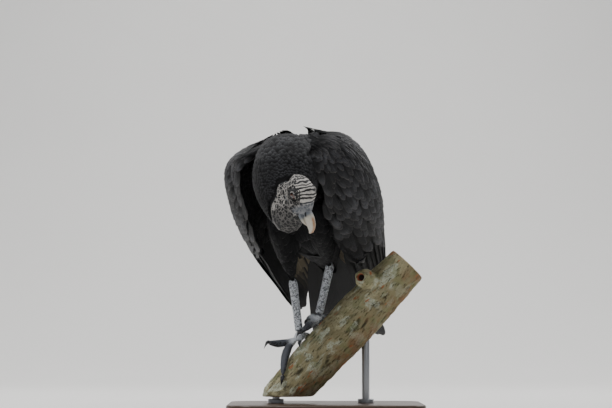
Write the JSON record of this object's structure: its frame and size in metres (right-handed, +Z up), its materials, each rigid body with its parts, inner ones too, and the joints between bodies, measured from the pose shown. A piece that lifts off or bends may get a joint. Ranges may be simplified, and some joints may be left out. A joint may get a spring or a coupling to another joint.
{
  "type": "black vulture",
  "caption": "Life-size still model of a black vulture hunched on a cut branch, head bowed and wings loosely folded, on a plain display stand.",
  "frame": {"origin": "centre of the underside of the stand's base", "axes": "+Z up; the branch climbs towards +X; the bird looks out over -Y"},
  "size_m": [0.3024, 0.4357, 0.4298],
  "materials": {
    "feather": "satin",
    "bare_skin": "matte",
    "bill_horn": "satin",
    "eye": "gloss",
    "shank_skin": "matte",
    "toe_skin": "matte",
    "claw_horn": "satin",
    "bark": "matte",
    "rod_steel": "satin",
    "base_wood": "satin"
  },
  "bodies": {
    "root": {"trunk": "feather", "neck": "feather", "head": "bare_skin", "bill_upper": "bill_horn", "bill_lower": "bill_horn", "eye_right": "eye", "eye_left": "eye", "tail": "feather", "thigh_right": "feather", "shank_right": "shank_skin", "foot_right": "toe_skin", "claw_right_middle": "claw_horn", "claw_right_outer": "claw_horn", "claw_right_inner": "claw_horn", "claw_right_hind": "claw_horn", "thigh_left": "feather", "shank_left": "shank_skin", "foot_left": "toe_skin", "claw_left_middle": "claw_horn", "claw_left_outer": "claw_horn", "claw_left_inner": "claw_horn", "claw_left_hind": "claw_horn", "wing_right": "feather", "wing_left": "feather", "stand_perch": "bark", "stand_rod_low": "rod_steel", "stand_rod_high": "rod_steel", "stand_base": "base_wood"}
  },
  "joints": []
}
